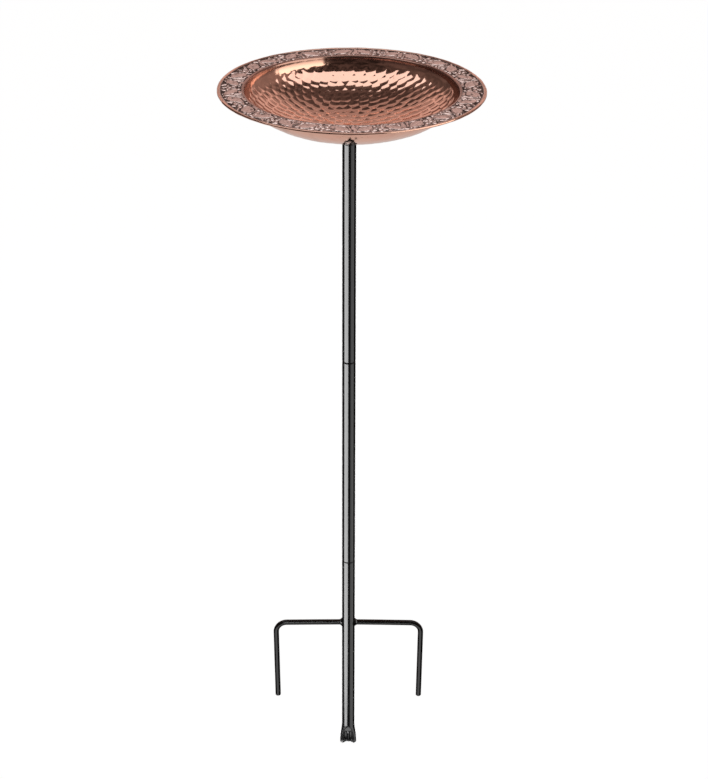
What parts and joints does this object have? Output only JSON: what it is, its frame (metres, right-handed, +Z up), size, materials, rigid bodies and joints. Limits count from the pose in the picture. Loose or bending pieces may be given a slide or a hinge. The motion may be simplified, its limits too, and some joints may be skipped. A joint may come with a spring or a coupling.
{
  "type": "bird bath",
  "caption": "Round hammered bowl with a wide embossed rim, screwed on a slender push-fit sectional pole with a step-in fork and a crimped ground tip.",
  "frame": {"origin": "lowest point of the crimped ground tip, on the pole's axis", "axes": "+Z up along the pole, towards the bowl; the fork's arms lie along X"},
  "size_m": [0.356, 0.356, 1.0483],
  "materials": {
    "pole_black": "gloss powder coat",
    "fork_black": "gloss powder coat",
    "washer_rubber": "matte",
    "stud_zinc": "zinc plated",
    "boss_copper": "copper, turned",
    "solder": "brazed, copper-toned",
    "bowl_copper": "hammered polished copper, antiqued embossed rim"
  },
  "bodies": {
    "lower_section": {"lower_tube": "pole_black", "left_prong": "fork_black", "right_prong": "fork_black", "left_weld": "fork_black", "right_weld": "fork_black"},
    "middle_section": {"middle_tube": "pole_black"},
    "upper_section": {"upper_tube": "pole_black", "pole_end_plug": "pole_black"},
    "washer": {"stud_washer": "washer_rubber"},
    "bowl_assembly": {"bowl": "bowl_copper", "bowl_boss": "boss_copper", "boss_solder": "solder", "threaded_stud": "stud_zinc"}
  },
  "joints": [
    {"name": "middle_push_fit", "type": "slide", "parent": "lower_section", "child": "middle_section", "axis": [0, 0, 1], "range_m": [0, 0.045]},
    {"name": "upper_push_fit", "type": "slide", "parent": "middle_section", "child": "upper_section", "axis": [0, 0, 1], "range_m": [0, 0.045]},
    {"name": "bowl_turn", "type": "hinge", "parent": "upper_section", "child": "washer", "pos_m": [0, 0, 0.972], "axis": [0, 0, 1], "range_deg": [0, 3600]},
    {"name": "bowl_lift", "type": "slide", "parent": "washer", "child": "bowl_assembly", "axis": [0, 0, 1], "range_m": [0, 0.01251]}
  ],
  "couplings": [
    {"joint": "bowl_lift", "follows": "bowl_turn", "m_per_rad": 0.00019894}
  ]
}
